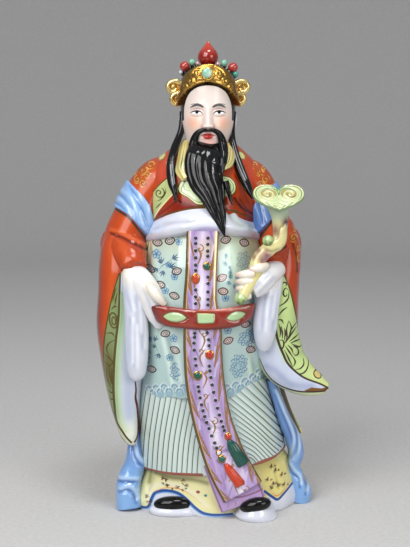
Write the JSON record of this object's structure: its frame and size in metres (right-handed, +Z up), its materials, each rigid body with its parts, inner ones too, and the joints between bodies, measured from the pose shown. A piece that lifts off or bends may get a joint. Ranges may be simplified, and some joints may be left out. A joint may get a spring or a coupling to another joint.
{
  "type": "porcelain figure",
  "caption": "Standing robed figure in enamelled porcelain, with a long beard and a gold crown, holding a ruyi sceptre and a stiff belt; rests on its flat underside.",
  "frame": {"origin": "middle of the figure's box, at the level of its flat underside", "axes": "+Z up through the crown, -Y the way the face and chest point, +X to the right as seen by someone facing the figure"},
  "size_m": [0.198, 0.1336, 0.4],
  "materials": {
    "glazed_porcelain": "glossy clear glaze over white porcelain, painted in red, green, blue, lilac, yellow, black and gold enamels"
  },
  "bodies": {
    "root": {"porcelain_figure": "glazed_porcelain"}
  },
  "joints": []
}
